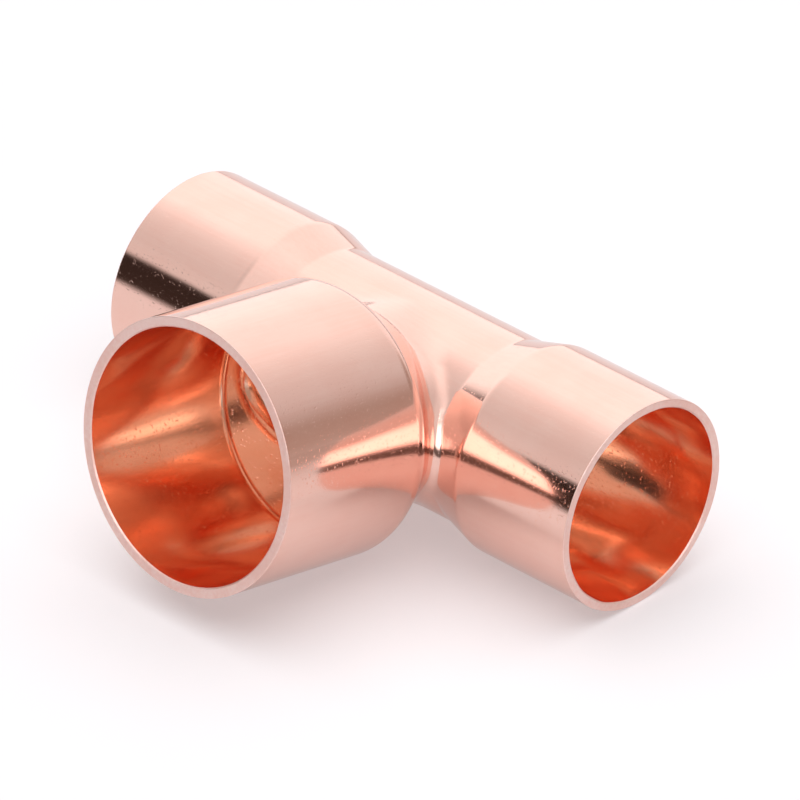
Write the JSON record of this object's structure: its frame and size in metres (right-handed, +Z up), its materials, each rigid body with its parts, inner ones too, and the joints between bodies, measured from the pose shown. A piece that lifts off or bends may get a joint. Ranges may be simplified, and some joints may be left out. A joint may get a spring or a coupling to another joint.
{
  "type": "tee fitting",
  "caption": "Reducing copper tee for capillary soldering: two equal sockets in line on a straight barrel, and one larger socket square to them.",
  "frame": {"origin": "centre of the fitting's box. The run's axis and the branch's axis cross 11.275 mm behind it, at (0, 0.011275, 0)", "axes": "+X along the run towards the right socket, -Y along the branch towards its mouth, +Z up, square to the plane of both axes"},
  "size_m": [0.0676, 0.0466, 0.0304],
  "materials": {
    "copper": "gloss"
  },
  "bodies": {
    "root": {"run_barrel": "copper", "branch_neck": "copper", "branch_shoulder": "copper", "branch_socket": "copper", "left_shoulder": "copper", "left_socket": "copper", "right_shoulder": "copper", "right_socket": "copper"}
  },
  "joints": []
}
